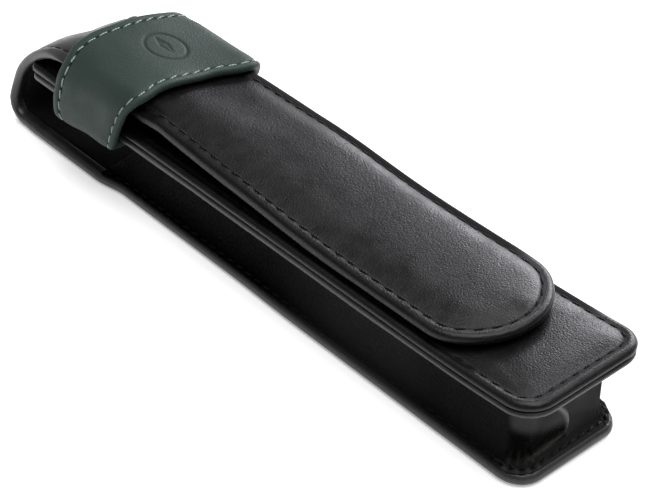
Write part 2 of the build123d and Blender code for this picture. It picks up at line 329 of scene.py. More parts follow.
def stitch_bar(length, thick, sink):
    """One stitch lying along X: a rounded bar whose ends dive into the leather."""
    bar = []
    for u, girth in ((-0.5, 0.25), (-0.42, 0.8), (-0.2, 1.0), (0.2, 1.0), (0.42, 0.8), (0.5, 0.25)):
        r = thick / 2 * girth
        lift = -sink * thick * (2 * abs(u)) ** 3
        for a in range(STITCH_SIDES):
            t = a * 2 * math.pi / STITCH_SIDES
            bar.append((u * length, r * math.cos(t), r * math.sin(t) * 0.8 + lift))
    return np.array(bar)


def stitches(name, runs, sizes, material, slant=0.0, sink=0.25):
    """Separate sewn stitches along runs of (points, normals); sizes gives pitch, length and thickness,
    either once or for each run."""
    rings = np.arange(6 * STITCH_SIDES).reshape(6, STITCH_SIDES).tolist()
    bar_faces = sweep(rings, True, False) + [tuple(rings[0][::-1]), tuple(rings[-1])]
    points, faces = [], []
    rng = np.random.default_rng(5)
    for (line, normal), (pitch, length, thick) in zip(runs, np.broadcast_to(sizes, (len(runs), 3))):
        bar = stitch_bar(length, thick, sink)
        along = distances(line)
        count = max(1, int(round(along[-1] / pitch)))
        for k in range(count):
            at = (k + 0.5) * along[-1] / count
            n = along_line(at, along, normal)
            n /= np.linalg.norm(n)
            t = along_line(at + 0.3, along, line) - along_line(at - 0.3, along, line)
            t -= n * (t @ n)
            t /= np.linalg.norm(t)
            side = np.cross(n, t)
            angle = math.radians(slant + rng.uniform(-4, 4))
            cos, sin = math.cos(angle), math.sin(angle)
            axes = np.stack([t * cos + side * sin, side * cos - t * sin, n])
            base = len(points)
            points.extend(along_line(at, along, line) + bar @ axes)
            faces.extend(tuple(v + base for v in f) for f in bar_faces)
    return make(name, np.array(points), faces, material)


def surface_run(outline, inset, height, place, near=True, start=-math.inf, end=math.inf):
    """Points and outward normals along an outline at an inset, from start to end, for stitching."""
    plan, inner = outline(inset, False), outline(inset + 0.2, False)
    keep = (plan[:, 0] > start) & (plan[:, 0] < end)
    plan, inner = plan[keep], inner[keep]
    side = 1.0 if near else -1.0

    def at(line, n, d):
        return place(line[:, 0], side * line[:, 1], np.full(len(line), float(n)), np.full(len(line), d))

    here = at(plan, height, inset)
    normal = np.cross(np.gradient(here, axis=0), at(inner, height, inset + 0.2) - here)
    outward = np.sum(normal * (at(plan, height + 0.5, inset) - here), axis=1)
    return here, normal * np.where(outward < 0, -1.0, 1.0)[:, None]


# --- Materials ---
def new_material(name):
    material = bpy.data.materials.new(name)
    material.use_nodes = True
    return material, material.node_tree, material.node_tree.nodes["Principled BSDF"]


def join(tree, socket, value):
    """The socket takes another node's output or a plain value."""
    if isinstance(value, bpy.types.NodeSocket):
        tree.links.new(value, socket)
    else:
        socket.default_value = value


def put(node, **inputs):
    """The node's inputs joined or set, by name with _ for a space."""
    for name, value in inputs.items():
        join(node.id_data, node.inputs[name.replace("_", " ")], value)
    return node


def add(tree, kind, **inputs):
    return put(tree.nodes.new("ShaderNode" + kind), **inputs)


def maths(tree, operation, *values):
    node = tree.nodes.new("ShaderNodeMath")
    node.operation = operation
    for socket, value in zip(node.inputs, values):
        join(tree, socket, value)
    return node.outputs["Value"]


def place_in(tree):
    return add(tree, "TexCoord").outputs["Object"]


def painted(tree, name):
    node = add(tree, "Attribute")
    node.attribute_name = name
    return node.outputs["Fac"]


def mixed(tree, blend, amount, first, second):
    node = add(tree, "MixRGB", Fac=amount, Color1=first, Color2=second)
    node.blend_type = blend
    return node.outputs["Color"]


def remap(tree, value, low, high, **ends):
    return add(tree, "MapRange", Value=value, To_Min=low, To_Max=high, **ends).outputs["Result"]


def tinted(tree, value, dark, light, low=0.0, high=1.0):
    """A colour that runs from dark to light as the value runs from low to high."""
    node = add(tree, "ValToRGB", Fac=value)
    for element, position, colour in zip(node.color_ramp.elements, (low, high), (dark, light)):
        element.position = position
        element.color = (*colour, 1)
    return node.outputs["Color"]


def relief(tree, shader, height, depth, strength=1.0, invert=False):
    node = add(tree, "Bump", Strength=strength, Distance=depth, Height=height)
    node.invert = invert
    put(shader, Normal=node.outputs["Normal"])


def leather(name, dark, light, rough, grain, grain_depth, specular, scuff_highlight_gain=0.35, painted_sheen=None, painted_shade=None):
    """Grained leather: pebbles, fine pores and slow colour drift. It is painted lighter by the gain for wear
    and painted highlight, darker and matt for painted shade, and lighter and flatter for painted sheen."""
    material, tree, shader = new_material(name)
    where = place_in(tree)

    def noise(scale, detail):
        return add(tree, "TexNoise", Vector=where, Scale=scale, Detail=detail, Roughness=0.6).outputs

    soft = noise(240.0, 3.0)
    colour = tinted(tree, noise(38.0, 3.0)["Fac"], dark, light, 0.3, 0.75)
    # Lighter for wear and painted highlight; then darker where shade is painted, lighter where sheen is
    # painted.
    scuff_highlight = maths(tree, "MULTIPLY", painted(tree, "scuff_and_highlight"), soft["Fac"])
    colour = mixed(tree, "ADD", scuff_highlight, colour, (*[c * scuff_highlight_gain for c in light], 1))
    for attribute, blend, change in (("painted_shade", "MULTIPLY", painted_shade), ("painted_sheen", "ADD", painted_sheen)):
        if change is not None:
            colour = mixed(tree, blend, painted(tree, attribute), colour, (change, change, change, 1))

    matt = remap(tree, soft["Fac"], rough - 0.06, rough + 0.08, From_Min=0.3, From_Max=0.7)
    if painted_shade is not None:
        matt = remap(tree, painted(tree, "painted_shade"), matt, 1.0)
    put(shader, Base_Color=colour, Roughness=matt, Specular_IOR_Level=specular)

    warped = mixed(tree, "MIX", 0.0008, where, soft["Color"])
    pebble = add(tree, "TexVoronoi", Vector=warped)
    pebble.feature = "SMOOTH_F1"
    put(pebble, Scale=grain, Smoothness=0.55)
    height = maths(tree, "MULTIPLY_ADD", noise(2600.0, 4.0)["Fac"], 0.35, pebble.outputs["Distance"])
    strength = 1.0 if painted_sheen is None else remap(tree, painted(tree, "painted_sheen"), 1.0, 0.3)
    relief(tree, shader, height, grain_depth, strength, invert=True)
    return material


def thread(name, dark, light):
    """Twisted sewing thread."""
    material, tree, shader = new_material(name)
    twist = add(tree, "TexWave", Vector=place_in(tree), Scale=900.0, Distortion=1.5)
    twist.bands_direction = "DIAGONAL"
    colour = tinted(tree, twist.outputs["Fac"], dark, light)
    put(shader, Base_Color=colour, Roughness=0.6, Specular_IOR_Level=0.12)
    relief(tree, shader, twist.outputs["Fac"], 0.00006)
    return material


def fibre(name, dark, light, scale):
    """Pressed board, foam or suede: speckled and matt."""
    material, tree, shader = new_material(name)
    speck = add(tree, "TexNoise", Vector=place_in(tree), Scale=scale, Detail=6.0).outputs["Fac"]
    colour = tinted(tree, speck, dark, light, 0.3, 0.7)
    put(shader, Base_Color=colour, Roughness=0.9, Specular_IOR_Level=0.15)
    relief(tree, shader, speck, 0.0002)
    return material


black = leather(
    "black_leather", (0.0014, 0.0014, 0.0016), (0.0030, 0.0029, 0.0033),
    rough=0.37, grain=2700.0, grain_depth=0.00004, specular=0.26, painted_shade=0.2,
)
# Painted light: a lighter, glossier copy of the case leather for the back panel, fold, neck and the front's
# lower ply, with strong painted highlight on its edges and painted sheen where marked.
panel_lit_black = leather(
    "panel_lit_leather", (0.0046, 0.0046, 0.0048), (0.0084, 0.0082, 0.0090),
    rough=0.42, grain=2900.0, grain_depth=0.000034, specular=0.56, scuff_highlight_gain=2.0, painted_sheen=0.03,
)
# Painted shade: the gusset's leather made darker and almost unreflective on its walls; its large gain is for
# painted highlights on the ridge and crests.
gusset_shaded_black = leather(
    "gusset_shaded_leather", (0.0005, 0.0005, 0.0005), (0.0011, 0.0011, 0.0010),
    rough=0.31, grain=1700.0, grain_depth=0.0002, specular=0.011, scuff_highlight_gain=300.0, painted_sheen=0.036,
)
green = leather(
    "green_leather", (0.0215, 0.0345, 0.0290), (0.0310, 0.0460, 0.0395),
    rough=0.52, grain=2600.0, grain_depth=0.00006, specular=0.138, painted_shade=0.1,
)
green_inside = leather(
    "green_lining", (0.004, 0.010, 0.007), (0.008, 0.017, 0.013),
    rough=0.8, grain=1700.0, grain_depth=0.0001, specular=0.07,
)
suede = fibre("dark_lining", (0.0018, 0.0018, 0.0015), (0.005, 0.005, 0.0045), 1500.0)
board = fibre("stiffener_board", (0.16, 0.12, 0.08), (0.3, 0.24, 0.17), 1200.0)
foam = fibre("foam_padding", (0.04, 0.04, 0.042), (0.09, 0.09, 0.092), 2200.0)
black_thread = thread("black_thread", (0.0006, 0.0006, 0.0006), (0.003, 0.003, 0.003))
seam_thread = thread("seam_thread", (0.002, 0.002, 0.002), (0.009, 0.009, 0.0095))
mint_thread = thread("mint_thread", (0.14, 0.20, 0.18), (0.32, 0.40, 0.37))


# --- Surfaces of the frame ---
flap_under = natural_spline(
    [-58.0, -46.0, -30.0, -5.0, 20.0, 38.0, 66.0],
    [FLAP_FLAT + h for h in (4.45, 5.0, 4.5, 2.4, 0.4, 0.0, 0.45)],
)


def lift(x):
    """How far the front panel rises above flat towards the closed end."""
    return np.maximum(x - BEND_X, 0.0) ** 2 / (2 * BEND_RADIUS)


def strap_section():
    """The outside of the strap loop looking along the case: points and outward normals, once round."""
    arcs = ((3.5, 90.0), (41.4, 12.0), (5.6, 70.0), (93.5, 8.0))
    y, z, heading = STRAP_HIGH[1] - arcs[0][0], STRAP_LOW[2], 0.0
    points = [(t * y, z) for t in np.linspace(0, 1, 12)[:-1]]
    normals = [(0.0, -1.0)] * len(points)
    for radius, turn in arcs:
        cy, cz = y - radius * math.sin(heading), z + radius * math.cos(heading)
        count = max(10, int(radius * math.radians(turn) / 0.3))
        for a in np.linspace(0, math.radians(turn), count + 1)[:-1]:
            t = heading + a
            points.append((cy + radius * math.sin(t), cz - radius * math.cos(t)))
            normals.append((math.sin(t), -math.cos(t)))
        heading += math.radians(turn)
        y, z = cy + radius * math.sin(heading), cz - radius * math.cos(heading)
    points, normals = np.array(points + [(0.0, z)]), np.array(normals + [(0.0, 1.0)])
    flip = np.array([-1.0, 1.0])
    return [np.concatenate([half, (half * flip)[-2:0:-1], half[:1]]) for half in (points, normals)]


LOOP, LOOP_NORMALS = strap_section()
STRAP_DEPTH = 2.05           # from the outside of the strap to the flap inside it

inner_face = (LOOP - LOOP_NORMALS * STRAP_DEPTH)[:-1][LOOP[:-1, 1] > 18.0]
CEILING = inner_face[np.argsort(inner_face[:, 0])]

# How far the crown has settled across the loop, at its mouth side and at its flap side.
STRAP_ACROSS = (-17.5, -15.8, -14.0, -10.7, -5.5, 0.0, 2.0, 5.0, 10.0, 15.3, 17.5)
MOUTH_SAG = (2.8, 2.2, 1.3, 0.1, -0.4, -0.4, -0.3, 0.0, 0.8, 1.7, 1.5)
FLAP_SAG = (-0.2, -0.4, -0.2, 0.0, 0.4, 1.6, 2.0, 2.3, 2.4, 1.9, 1.3)
SAG_REACH, SAG_SPREAD = 60, 17.0     # in steps of SAG_Y
SAG_Y = np.arange(-30.0, 30.01, 0.1)
MOUTH_CURVE, FLAP_CURVE = (
    softened(np.interp(SAG_Y, STRAP_ACROSS, sag), SAG_REACH, SAG_SPREAD) for sag in (MOUTH_SAG, FLAP_SAG)
)


def strap_sag(x, y, z):
    """The loop is not a true ring: how far its crown has settled at each point."""
    t = rise(x, -57.0, 26.0)
    sag = between(np.interp(y, SAG_Y, MOUTH_CURVE), np.interp(y, SAG_Y, FLAP_CURVE), t)
    return sag * rise(z, 15.5, 9.0)


def strap_ceiling(x, y):
    """The highest a flap point may be inside the strap."""
    high = np.interp(y, CEILING[:, 0], CEILING[:, 1], left=12.0, right=12.0)
    return high - strap_sag(x, y, high + 1.9)


def press(x, y, z):
    """Flap points inside the strap are pressed down where its rounded shoulders hold them."""
    inside = rise(x, -70.0, 12.0) * fall(x, -10.0, 18.0)
    over = z - strap_ceiling(x, y) + 0.3
    return z - 0.5 * (over + np.sqrt(over * over + 0.5)) * inside


def roll(x, y, z):
    """The far side of the fold hangs lower than the near side; the strap levels it out again."""
    lean = 1.2 * rise(y, -7.0, 9.0) + 2.0 * rise(y, 0, 12.0) * rise(x, -73.0, 7.0)
    return lean * rise(z, 11.0, 11.0) * fall(x, -58.0, 16.0)


# --- Skin of the back panel, fold and neck: one strip of leather ---
STATION_STEP = 0.25
EASE_REACH, EASE_SPREAD = 8, 4.0     # in stations
EASE_FIRST, EASE_LAST = 20, 60       # this many stations at each end are left as they are


def side_path():
    """The outside face in side view, from the cut under the strap, round the fold, to the closed end."""
    path = [(x, flap_under(x) + FLAP_THICK) for x in np.arange(PIECE_CUT, -57.6, -0.4)]
    heel = np.array([FOLD_LOW[0] + HEEL_RADIUS, HEEL_RADIUS])
    turn = math.radians(90 + HEEL_ANGLE)
    arch = heel - (ARCH_RADIUS - HEEL_RADIUS) * np.array([math.cos(turn), -math.sin(turn)])
    for a in np.linspace(math.radians(ARCH_ANGLE), 0, 90):
        path.append(arch + ARCH_RADIUS * np.array([math.cos(turn + a), -math.sin(turn + a)]))
    for a in np.linspace(math.radians(HEEL_ANGLE), 0, 40)[1:]:
        path.append(heel + HEEL_RADIUS * np.array([math.cos(QUARTER + a), -math.sin(QUARTER + a)]))
    path += [(x, 0.0) for x in np.arange(heel[0] + 0.5, BACK_END + 0.01, 0.5)]
    path = np.array(path)
    along = distances(path)
    path = along_line(np.arange(0, along[-1], STATION_STEP), along, path)
    soft = np.stack([softened(column, EASE_REACH, EASE_SPREAD) for column in path.T], 1)
    index = np.arange(len(path))[:, None]
    return np.where((index > EASE_FIRST) & (index < len(path) - EASE_LAST), soft, path), along[-1]


PATH, STRIP_LENGTH = side_path()
TANGENT = unit(np.gradient(PATH, axis=0))
STATION = np.arange(len(PATH)) * STATION_STEP
S_HEEL = STATION[np.argmax((PATH[:, 1] < HEEL_RADIUS) & (PATH[:, 0] < -70))]


def strip_half(s):
    return between(FLAP_HALF, PANEL_HALF, rise(np.asarray(s, float), 30.0, S_HEEL - 30.0))


def upper_part(s):
    """1 on the neck and fold, 0 on the back panel."""
    return fall(s, S_HEEL - 3.0, 6.0)


def on_strip(s, y, n):
    """A point of the strip: along it, across it and in from its outside face."""
    x, z = along_line(s, STATION, PATH).T
    tx, tz = along_line(s, STATION, TANGENT).T
    past = np.maximum(s - STATION[-1], 0.0)
    return np.stack([x + past - tz * n, y, z + tx * n], 1)


def strip_thick(s):
    """Neck, fold and back panel differ a little in thickness."""
    neck = fall(s, 22.0, 10.0)
    flat = rise(s, S_HEEL, 6.0)
    return FLAP_THICK * neck + BACK_THICK * flat + 2.45 * (1 - neck) * (1 - flat)


def panel_bow(x, y, z):
    """The back panel spreads at the open mouth and draws in at the far closed corner."""
    low = fall(z, 3.0, 9.0)
    spread = 0.35 * rise(x, -4.0, 24.0) + 1.25 * fall(x, -47.0, 9.0)
    spread = spread - 0.25 * fall(x, -76.0, 6.0)
    drawn = (3.1 + 0.35 * rise(z, 2.4, 0.6)) * rise(x, 58.0, 20.0) * rise(y, 0, 12.0)
    drawn = drawn + 0.9 * rise(x, 64.0, 9.0) * rise(y, 9.0, 5.0)
    return y + low * (np.clip(y / PANEL_HALF, -1, 1) * spread - drawn)


def corner_angle(x, y):
    """The direction from the centre of the nearer bottom corner of the closed end."""
    return np.arctan2(np.abs(y) - (PANEL_HALF - CORNER_RADIUS), x - (BACK_END - CORNER_RADIUS))


PLEATS = 15.0                # gathers to a full turn round a bottom corner, over 2 pi


def place_strip(s, y, n, d):
    upper = upper_part(s)
    crown = 0.55 * (1 - (y / strip_half(s)) ** 2) * upper * (1 - n) * rise(d, 1.0, 3.0)
    depth = n * strip_thick(s) - crown
    depth = depth + 0.05 * waves(s, y, 0, 9.0, 3) * rise(d, 1.5, 2.0) * upper
    x, y_flat, z = on_strip(s, y, depth).T
    corner = rise(x, END_SEAM, 4.0) * rise(np.abs(y), 8.5, 3.0)
    gather = np.sin(corner_angle(x, y) * PLEATS) * corner * np.clip(n, 0, 1) * fall(d, 1.5, 2)
    z = z + 0.16 * gather
    y_bowed = panel_bow(x, y_flat, z)
    fold = s < S_HEEL
    # The closed end reaches out a little, the fold bows in, and the neck rises into the strap.
    x = x + 0.4 * rise(x, 74.0, 5.0)
    x = x - 0.85 * bump(z, 14.5, 7.0) * fold * fall(x, -66.0, 8.0)
    z = z + 0.2 * rise(x, -58.0, 16.0) * fold
    z = z - roll(x, y, z)
    z = np.where(s < 30, press(x, y, z), z)
    return np.stack([x, y_bowed, z], 1)


# A profile goes from the middle of one face round the edge to the middle of the other: (inset, height).
strip = strip_outline(0.0, STRIP_LENGTH, strip_half, CORNER_RADIUS, side=250)
hem_face = [
    (7.0, -0.02), (4.6, -0.01), (3.4, 0.0), (2.9, 0.03), (2.55, 0.09), (2.3, 0.12), (2.05, 0.08),
    (1.7, 0.01), (1.3, -0.02),
]
hem_edge = [
    (0.85, 0.03), (0.5, 0.1), (0.22, 0.22), (0.06, 0.36), (0.0, 0.5), (0.06, 0.64), (0.22, 0.78),
    (0.5, 0.9), (0.85, 0.97),
]
hem_inside = [(1.3, 1.0), (2.0, 1.0), (2.45, 0.97), (2.65, 0.88), (2.75, 0.5), (3.2, 0.42), (7.0, 0.42)]
strip_skin = slab("case_strip", strip, hem_face + hem_edge + hem_inside, place_strip, panel_lit_black, False)
strip_x, _, strip_z = points_of(strip_skin)
# Painted highlight on the edges is taken down around mid-height of the fold; painted sheen is laid on the
# upper fold by the neck.
for scuff_highlight, z in zip(strip_skin.data.attributes["scuff_and_highlight"].data, strip_z):
    scuff_highlight.value *= 1.0 - 0.8 * bump(z, 11.0, 8.0)
paint(strip_skin.data, "painted_sheen", fall(strip_x, -64.0, 6.0) * rise(strip_z, 17.0, 4.0))


def place_lining(s, y, n, d):
    padded = fall(s, 22.0, 8.0)
    p = place_strip(s, y, n + 0.5 * padded * (1.0 - n), d)
    p[:, 2] += 0.12 * waves(s, y, 0, 11.0, 8) * rise(d, 2.0, 3.0) * (1 - upper_part(s))
    return p


LINING_INSET = 2.6
strip_lining = slab(
    "case_lining",
    strip_outline(0.0, STRIP_LENGTH - LINING_INSET, lambda s: strip_half(s) - LINING_INSET, 3.0, side=200),
    [(4.5, 0.44), (1.0, 0.44), (0.15, 0.5), (0.0, 0.72), (0.15, 0.93), (0.6, 1.0), (1.5, 1.02), (4.5, 1.02)],
    place_lining, suede, False,
)


def place_board(x, y, n, d):
    """The stiff board inside the back panel follows the panel's outline."""
    z = between(BOARD_LOW[2], BOARD_HIGH[2], n)
    return np.stack([x, panel_bow(x, y, z), z], 1)


back_board = slab(
    "back_stiffener",
    strip_outline(BOARD_LOW[0], BOARD_HIGH[0], BOARD_HIGH[1], 4.0, 2.0, side=60),
    [(5.0, 1.0), (0.3, 1.0), (0.05, 0.85), (0.0, 0.5), (0.05, 0.15), (0.3, 0.0), (5.0, 0.0)],
    place_board, board, True,
)


# --- Flap: padded, with a rolled hem ---
def place_flap(x, y, n, d):
    """n is 1 on the top face and 0 underneath."""
    under = flap_under(x) + 0.2
    rim = fall(d, 1.6, 2.2)
    under = under + 0.5 * rise(x, 22, 18) * rim * (1 - n)
    slope = flap_under(x + 0.5) - flap_under(x - 0.5)
    thick = n * FLAP_THICK
    steep = rise(y, -2.0, 6.0) * (1.0 - (1.0 - np.clip((d - 2.35) / 3.6, 0, 1)) ** 2)
    field = np.maximum(rise(d, 2.4, 4.6), steep)
    dome = (1 - (y / FLAP_HALF) ** 2) * (1 - 0.5 * rise(x, 48, 16))
    plump = field * (0.22 + 0.72 * dome) * smooth(n * 2 - 1)
    neck = fall(x, -33, 8.0)
    plump = plump * (1 - neck) + neck * 0.55 * dome * rise(d, 1.0, 3.0) * n
    puckers = 0.025 * np.sin(x * 2 * math.pi / BLACK_STITCH[0]) * bump(d, 3.1, 0.7) * n
    hills = 0.035 * waves(x, y, 0, 13.0, 4) * field * n
    z = under + thick + plump + puckers + hills
    z = press(x, y, z - roll(x, y, z))
    # The flanks sink just past the strap, the near rim under it, and the far side leans out.
    flank = np.where(y > 0, rise(y, 8.4, 3.4), fall(y, -14.4, 3.9))
    z = z - 0.5 * flank * rise(x, -30, 10) * fall(x, -12.0, 20)
    z = z - 1.15 * fall(x, -31.5, 8.0) * fall(y, -13.0, 2.5)
    y = y + 0.75 * rise(y, 0, 8.0) * rise(x, -34.0, 14.0) * fall(x, 48.0, 14.0)
    return np.stack([x - slope * thick, y, z], 1)


BLACK_STITCH = (3.4, 2.4, 0.58)      # pitch, length and thickness of a stitch
FLAP_SEAM, FRONT_SEAM = 2.3, 2.07    # how far in from the edge the seams run

flap = nose_outline(PIECE_CUT, side=130)
flap_top = [
    (8.6, 1.0), (6.5, 1.0), (5.0, 1.0), (4.0, 1.0), (3.3, 0.995), (2.9, 0.985), (2.6, 0.967),
    (2.35, 0.955), (2.1, 0.957), (1.8, 0.967), (1.4, 0.98),
]
flap_edge = [
    (1.0, 0.98), (0.6, 0.93), (0.3, 0.84), (0.1, 0.70), (0.0, 0.54), (0.0, 0.40), (0.1, 0.24),
    (0.35, 0.1), (0.8, 0.02),
]
flap_low = [(1.4, 0.0), (2.2, 0.0), (2.6, 0.03), (2.75, 0.25), (3.5, 0.27), (8.0, 0.27)]


def far_rim(y, d, width):
    """1 on the far rim, which is that wide, where shade is painted."""
    return rise(y, 0, 6.0) * (1 - smooth((d - width) / 0.3))


def flap_painted_shade(x, y, n, d):
    """Painted shade in the seam groove and on the far rim."""
    groove = bump(d, FLAP_SEAM + 0.03, 0.3) * rise(n, 0.8, 0.1)
    return np.maximum(0.85 * groove, 0.9 * far_rim(y, d, 2.2) * fall(x, 46.0, 10.0))


flap_skin = slab("flap_skin", flap, flap_top + flap_edge + flap_low, place_flap, black, False, painted_shade=flap_painted_shade)
flap_lining = slab(
    "flap_lining",
    nose_outline(PIECE_CUT, end_inset=LINING_INSET, side=100),
    [(5.0, 0.26), (0.8, 0.26), (0.1, 0.2), (0.0, 0.12), (0.15, 0.03), (0.8, -0.01), (5.0, -0.01)],
    place_flap, suede, False,
)
flap_foam = slab(
    "flap_foam",
    nose_outline(NECK_LOW[0] + 1.0, end_inset=3.2, side=110),
    [(3.5, 0.55), (1.2, 0.54), (0.2, 0.5), (0.0, 0.43), (0.2, 0.35), (1.2, 0.31), (3.5, 0.31)],
    place_flap, foam, False,
)


# --- Front panel: two plies with a dark groove between them ---
def front_plan(x, y):
    """The front panel in plan: the far mouth corner set back to clear the fold, the far edge let out."""
    x = x + 1.4 * rise(y, 2.0, 8.0) * fall(x, -68.0, 8.0)
    return x, y + rise(y, 0, 8.0) * (0.4 - 0.2 * rise(x, 45.0, 12.0))


def place_front(x, y, n, d):
    z = between(FRONT_UNDER + 0.06, FRONT_TOP, n) + lift(x)
    field = rise(d, 2.05, 3.0) * smooth(n * 2 - 1)
    dome = 1 - (y / PANEL_HALF) ** 2
    # A low crown, the mouth end raised on the near side, a rim at the closed end and a fuller field there.
    z = z + field * (0.12 + 0.22 * dome)
    z = z + 0.5 * n * fall(x, -67.0, 10.0) * fall(y, 2.0, 8.0)
    x, y_out = front_plan(x, y)
    z = z + 0.05 * waves(x, y, 0, 12.0, 6) * field
    z = z + 0.25 * rise(x, FRONT_END - 9.0, 6.0) * bump(d, 1.2, 0.9) * n
    z = z + 0.35 * rise(x, 62, 10) * field * dome
    return np.stack([x, y_out, z], 1)


def front_painted_shade(x, y, n, d):
    # Painted shade in the seam groove and on the far rim.
    groove = bump(d, FRONT_SEAM, 0.28) * rise(n, 0.8, 0.1)
    return np.maximum(0.7 * groove, 0.8 * far_rim(y, d, 1.9) * fall(x, 66.0, 6.0))


front = strip_outline(FRONT_START - 2.0, FRONT_END, PANEL_HALF, 6.0, 2.0, side=150, stretch=1.25)
front_top = [
    (7.0, 1.0), (4.6, 1.0), (3.2, 0.995), (2.65, 0.975), (2.3, 0.94), (2.05, 0.92), (1.8, 0.93),
    (1.5, 0.948), (1.2, 0.965),
]
front_edge = [
    (0.9, 0.96), (0.5, 0.88), (0.2, 0.72), (0.03, 0.52), (0.06, 0.32), (0.25, 0.14), (0.6, 0.03),
    (1.2, 0.0), (7.0, 0.0),
]
front_skin = slab("front_leather", front, front_top + front_edge, place_front, black, True, painted_shade=front_painted_shade)


def place_ply(x, y, n, d):
    low = FRONT_UNDER - 2.0 + 0.25 * rise(x, -30.0, 20.0) + 0.3 * rise(x, 35.0, 30.0)
    z = between(low, FRONT_UNDER - 0.02, n) + lift(x) + 0.04 * waves(x, y, 0, 14.0, 9)
    return np.stack([*front_plan(x, y), z], 1)


front_ply = slab(
    "front_lining_ply",
    strip_outline(FRONT_START - 1.8, FRONT_END - 0.1, PANEL_HALF - 0.05, 6.0, 2.0, side=150),
    [
        (7.0, 1.0), (1.2, 1.0), (0.6, 0.96), (0.22, 0.84), (0.02, 0.62), (0.0, 0.42), (0.15, 0.2),
        (0.5, 0.05), (1.0, 0.0), (7.0, 0.0),
    ],
    place_ply, panel_lit_black, True,
)

# --- Gusset ---
GUSSET_START = -38.0
gusset = strip_outline(GUSSET_START, BACK_END, PANEL_HALF, CORNER_RADIUS, side=150, arc=20, flat=40)
GUSSET_FOOT = BACK_THICK + 0.8
WALL_OUT, WALL_IN = 1.95, 2.75       # insets of the wall's two faces
wall_heights = np.linspace(4.9, 15.1, 22)
flange = [
    (WALL_IN, 2.62), (1.6, 2.62), (0.6, 2.62), (0.36, 2.75), (0.3, 3.0), (0.38, 3.28), (0.6, 3.4),
    (0.85, 3.36), (1.1, 3.24), (1.35, 3.34), (1.6, 3.46), (1.85, 3.8), (WALL_OUT, 4.4),
]
wall = [(WALL_OUT, z) for z in wall_heights] + [(WALL_IN, z) for z in wall_heights[::-1]]
gusset_section = flange + wall + [(WALL_IN, 4.4), (WALL_IN, 3.4)]


def end_crease(z):
    """Where the closed end of the gusset folds, across the case, at each height."""
    return -0.6 - 0.10 * (z - 6.8) ** 2


def corner_pleats(x, y, z):
    """The gathers round both bottom corners of the closed end, from -1 to 1."""
    corner = rise(x, END_WALL - 1.0, 4.0) * rise(np.abs(y), 7.0, 4.0)
    return np.sin(corner_angle(x, y) * PLEATS + 0.6) * corner * fall(z, 4.2, 2.6)


def ridge_distance(y, z):
    """How far a point of the closed end is from the ridge that runs along its foot and then up."""
    radius, foot, turn_y = 1.8, 5.0, -1.3
    along_foot = np.abs(z - foot + 0.09 * np.maximum(turn_y - radius - y, 0.0))
    round_turn = np.abs(np.hypot(y - turn_y + radius, z - foot - radius) - radius)
    upright = np.abs(y - end_crease(z) + 0.6)
    low = np.where(y > turn_y - radius, round_turn, along_foot)
    return np.where(z > foot + radius, upright, low)


def ridge(y, z, width):
    """1 on the ridge; it fades out at the near corner."""
    return bump(ridge_distance(y, z), 0.0, width) * rise(y, -13.0, 3.0)


def place_gusset(x, y, z, d):
    up = np.clip((z - GUSSET_FOOT) / 11.6, 0, 1)
    belly = np.sin(math.pi * up) ** 0.8
    wall = rise(z, 3.3, 1.2)
    mouth = fall(x, GUSSET_START, 40.0)
    x = x + mouth * (-7.0 + 12.0 * up)
    y = y - np.sign(y) * fall(x, END_WALL, 5.0) * belly * 0.55 * wall
    end = rise(x, END_WALL, 5.0) * wall
    far = rise(y, end_crease(z), 0.9)
    set_in = rise(z, 3.4, 1.6)
    # The end wall steps back past its crease; the ridge stands out of it, and it sinks beside the ridge.
    x = x - end * (0.5 + 0.2 * belly * (1 - far) + far * set_in * (0.3 + 0.21 * (z - 4.0)))
    x = x + end * 0.5 * ridge(y, z, 0.5)
    hollow = bump(y, -7.0, 4.5) * rise(z, 8.0, 4.0) + 0.8 * bump(y, 6.0, 4.0) * bump(z, 8.0, 4.0)
    x = x - end * 0.6 * hollow
    for corner_y, depth in ((-12.0, 0.34), (11.5, 0.2)):  # small folds fan out from the bottom corners
        reach = np.hypot(y - corner_y, z - 3.2)
        turn = np.arctan2(z - 3.2, (y - corner_y) * -np.sign(corner_y))
        x = x + end * depth * np.sin(turn * 9.0 + 0.8) * np.exp(-reach / 4.0) * rise(reach, 0, 1.5)
    # The end wall narrows upwards at the far corner and bulges at the near one, then everything rumples.
    y = y - end * set_in * (1.3 + 0.1 * (z - 8.0)) * rise(y, 7.0, 6.0)
    y = y + end * belly * 0.4 * fall(y, -13.0, 6.0)
    rumple = waves(x, y, z, 8.0, 12) * 0.13
    y = y + rumple * wall * 0.6
    x = x + rumple * end
    pleat = corner_pleats(x, y, z)
    z = z + (0.36 - 0.24 * rise(y, 0, 6)) * pleat * rise(z, 2.7, 0.5)
    x = x + 0.3 * pleat * wall
    z = z + lift(x) * up
    return np.stack([x, panel_bow(x, y, z), z], 1)


def loop_piece(name, outline, section, place, material):
    """An open strip whose closed section is swept along an outline, with both ends capped."""
    plan, height, inset, rings = lay_rings(outline, section, False, False)
    faces = sweep(rings, False, True) + [tuple(r[0] for r in rings), tuple(r[-1] for r in rings[::-1])]
    return make(name, place(*np.array(plan).T, np.array(height), np.array(inset)), faces, material)


gusset_skin = loop_piece("gusset", gusset, gusset_section, place_gusset, gusset_shaded_black)


